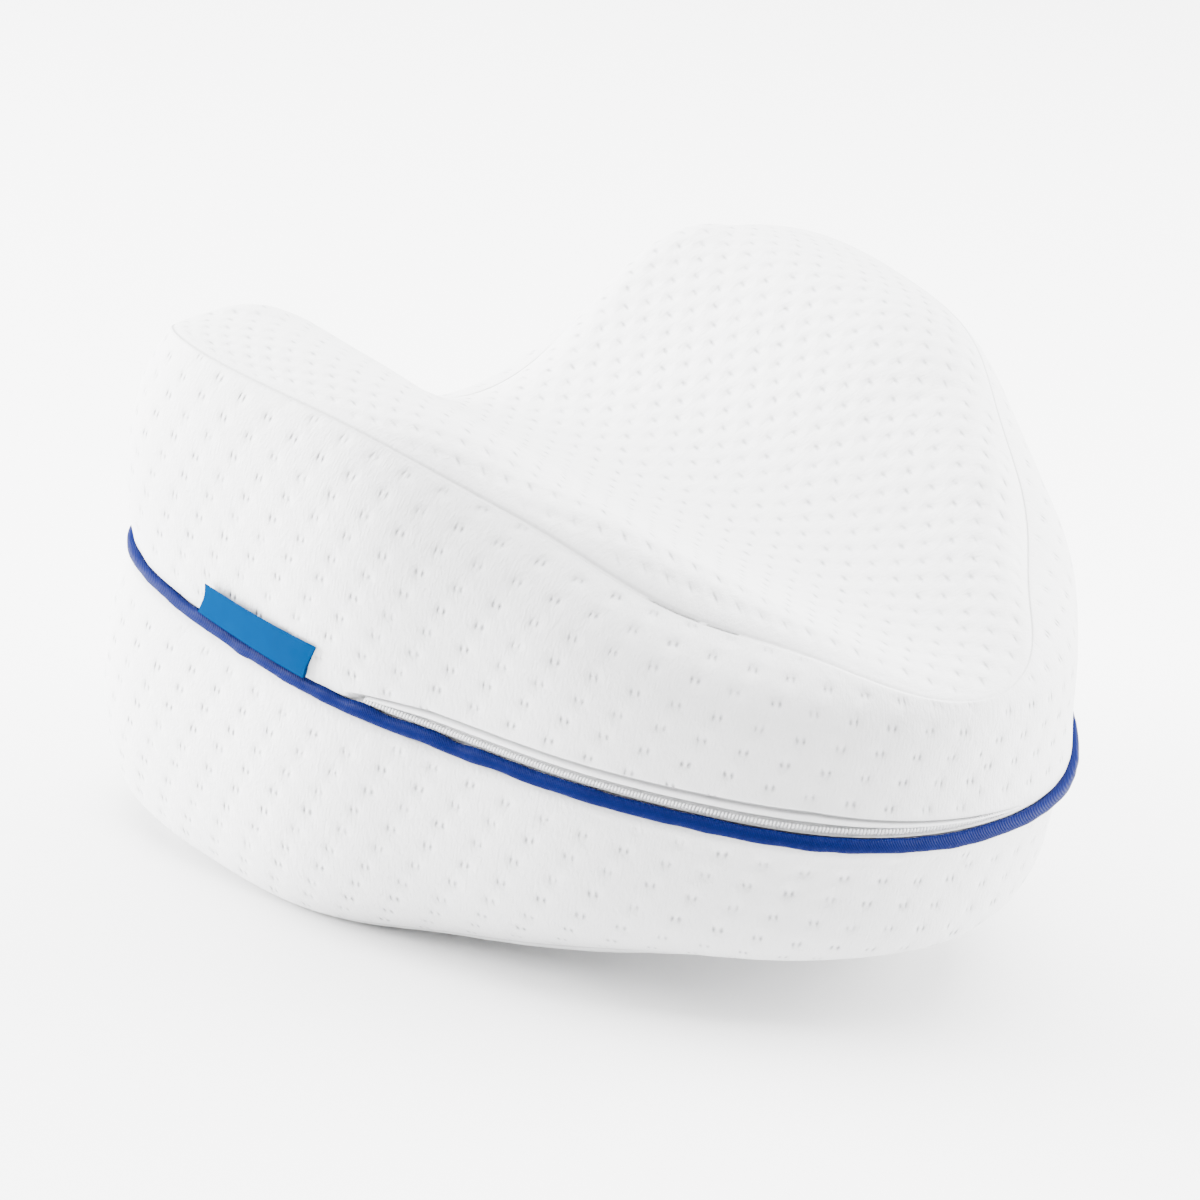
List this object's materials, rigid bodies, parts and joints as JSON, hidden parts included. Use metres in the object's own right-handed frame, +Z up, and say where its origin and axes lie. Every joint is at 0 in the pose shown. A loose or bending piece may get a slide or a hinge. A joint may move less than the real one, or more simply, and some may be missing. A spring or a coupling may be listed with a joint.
{
  "type": "contoured knee pillow",
  "caption": "Foam filled knee pillow, heart shaped in plan and hollowed on both faces, in a white dimpled knit cover with blue corded piping, a flank zip and a plain blue tag",
  "frame": {"origin": "middle of the underside of the box round the pillow as it rests", "axes": "+Z up, +X along the hollow towards the thin narrow end, Y across the two lobes with the zip and tag on the -Y flank"},
  "size_m": [0.2387, 0.2303, 0.1376],
  "materials": {
    "white_knit": "matte",
    "blue_cord": "matte",
    "white_coil": "satin",
    "white_tape": "matte",
    "blue_tape": "satin"
  },
  "bodies": {
    "root": {"cushion": "white_knit", "piping": "blue_cord", "zip_coil": "white_coil", "zip_tape": "white_tape", "side_tag": "blue_tape"}
  },
  "joints": []
}
